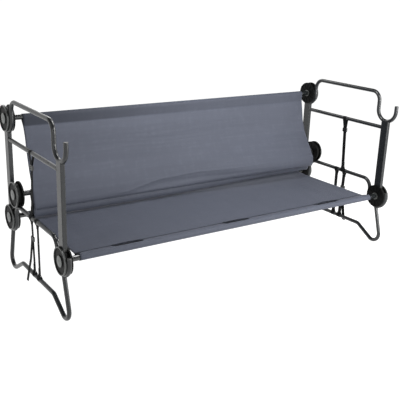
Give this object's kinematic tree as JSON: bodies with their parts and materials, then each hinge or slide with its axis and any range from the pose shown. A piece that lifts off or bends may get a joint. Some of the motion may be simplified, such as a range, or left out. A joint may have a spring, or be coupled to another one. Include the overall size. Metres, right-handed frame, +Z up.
{
  "type": "camping bunk bed",
  "caption": "Camping bunk bed set up as a bench: bent-tube end frames with hooks hold disc-ended rails, a taut seat sling and a slack sling hung as the backrest.",
  "frame": {"origin": "on the floor, under the middle of the bed (the bounding box's bottom centre)", "axes": "+X along the bed, +Y towards the back of the bench, +Z up"},
  "size_m": [2.0952, 0.828, 0.931],
  "materials": {
    "frame": "satin powder coat",
    "rail": "satin powder coat",
    "disc": "moulded, satin",
    "cap": "moulded, satin",
    "plug": "moulded",
    "spring": "zinc plated",
    "sling": "coated polyester weave",
    "strap": "woven webbing",
    "slider": "moulded"
  },
  "bodies": {
    "root": {"lower_hook_tube_left": "frame", "leg_tube_left": "frame", "upper_hook_tube_left": "frame", "front_post_left": "frame", "rear_post_left": "frame", "cross_bar_left": "frame", "upper_strap_left": "strap", "lower_straps_left": "strap", "lower_hook_tube_right": "frame", "leg_tube_right": "frame", "upper_hook_tube_right": "frame", "front_post_right": "frame", "rear_post_right": "frame", "cross_bar_right": "frame", "upper_strap_right": "strap", "lower_straps_right": "strap", "hook_plugs": "plug", "post_saddles": "plug", "strap_sliders": "slider", "seat_sling": "sling"},
    "backrest": {"backrest_sling": "sling"},
    "front_rail": {"front_rail_tube_left": "rail", "front_rail_tube_right": "rail", "front_rail_coupler": "rail", "front_rail_button_spring": "spring", "front_rail_disc_left": "disc", "front_rail_disc_right": "disc", "front_rail_inner_flanges": "disc", "front_rail_caps": "cap"},
    "front_rail_button": {"front_rail_button": "spring"},
    "rear_rail": {"rear_rail_tube_left": "rail", "rear_rail_tube_right": "rail", "rear_rail_coupler": "rail", "rear_rail_button_spring": "spring", "rear_rail_disc_left": "disc", "rear_rail_disc_right": "disc", "rear_rail_inner_flanges": "disc", "rear_rail_caps": "cap"},
    "rear_rail_button": {"rear_rail_button": "spring"},
    "top_rail": {"top_rail_tube_left": "rail", "top_rail_tube_right": "rail", "top_rail_coupler": "rail", "top_rail_button_spring": "spring", "top_rail_disc_left": "disc", "top_rail_disc_right": "disc", "top_rail_inner_flanges": "disc", "top_rail_caps": "cap"},
    "top_rail_button": {"top_rail_button": "spring"},
    "mid_rail": {"mid_rail_tube_left": "rail", "mid_rail_tube_right": "rail", "mid_rail_coupler": "rail", "mid_rail_button_spring": "spring", "mid_rail_disc_left": "disc", "mid_rail_disc_right": "disc", "mid_rail_inner_flanges": "disc", "mid_rail_caps": "cap"},
    "mid_rail_button": {"mid_rail_button": "spring"}
  },
  "joints": [
    {"name": "front_rail_turn", "type": "hinge", "parent": "root", "child": "front_rail", "pos_m": [0, -0.337, 0.297], "axis": [1, 0, 0], "continuous": true},
    {"name": "front_rail_button_press", "type": "slide", "parent": "front_rail", "child": "front_rail_button", "axis": [0, 0, 1], "range_m": [0, 0.004], "stiffness_N_per_m": 600, "springref_m": -0.002, "deforming": ["front_rail_button_spring"]},
    {"name": "rear_rail_turn", "type": "hinge", "parent": "root", "child": "rear_rail", "pos_m": [0, 0.337, 0.297], "axis": [1, 0, 0], "continuous": true},
    {"name": "rear_rail_button_press", "type": "slide", "parent": "rear_rail", "child": "rear_rail_button", "axis": [0, 0, 1], "range_m": [0, 0.004], "stiffness_N_per_m": 600, "springref_m": -0.002, "deforming": ["rear_rail_button_spring"]},
    {"name": "top_rail_turn", "type": "hinge", "parent": "root", "child": "top_rail", "pos_m": [0, 0.337, 0.823], "axis": [1, 0, 0], "continuous": true},
    {"name": "top_rail_button_press", "type": "slide", "parent": "top_rail", "child": "top_rail_button", "axis": [0, 0, 1], "range_m": [0, 0.004], "stiffness_N_per_m": 600, "springref_m": -0.002, "deforming": ["top_rail_button_spring"]},
    {"name": "mid_rail_turn", "type": "hinge", "parent": "backrest", "child": "mid_rail", "pos_m": [0, 0.257, 0.44176], "axis": [1, 0, 0], "continuous": true},
    {"name": "mid_rail_button_press", "type": "slide", "parent": "mid_rail", "child": "mid_rail_button", "axis": [0, 0, 1], "range_m": [0, 0.004], "stiffness_N_per_m": 600, "springref_m": -0.002, "deforming": ["mid_rail_button_spring"]},
    {"name": "backrest_swing", "type": "hinge", "parent": "root", "child": "backrest", "pos_m": [0, 0.337, 0.823], "axis": [-1, 0, 0], "range_deg": [0, 24]}
  ]
}
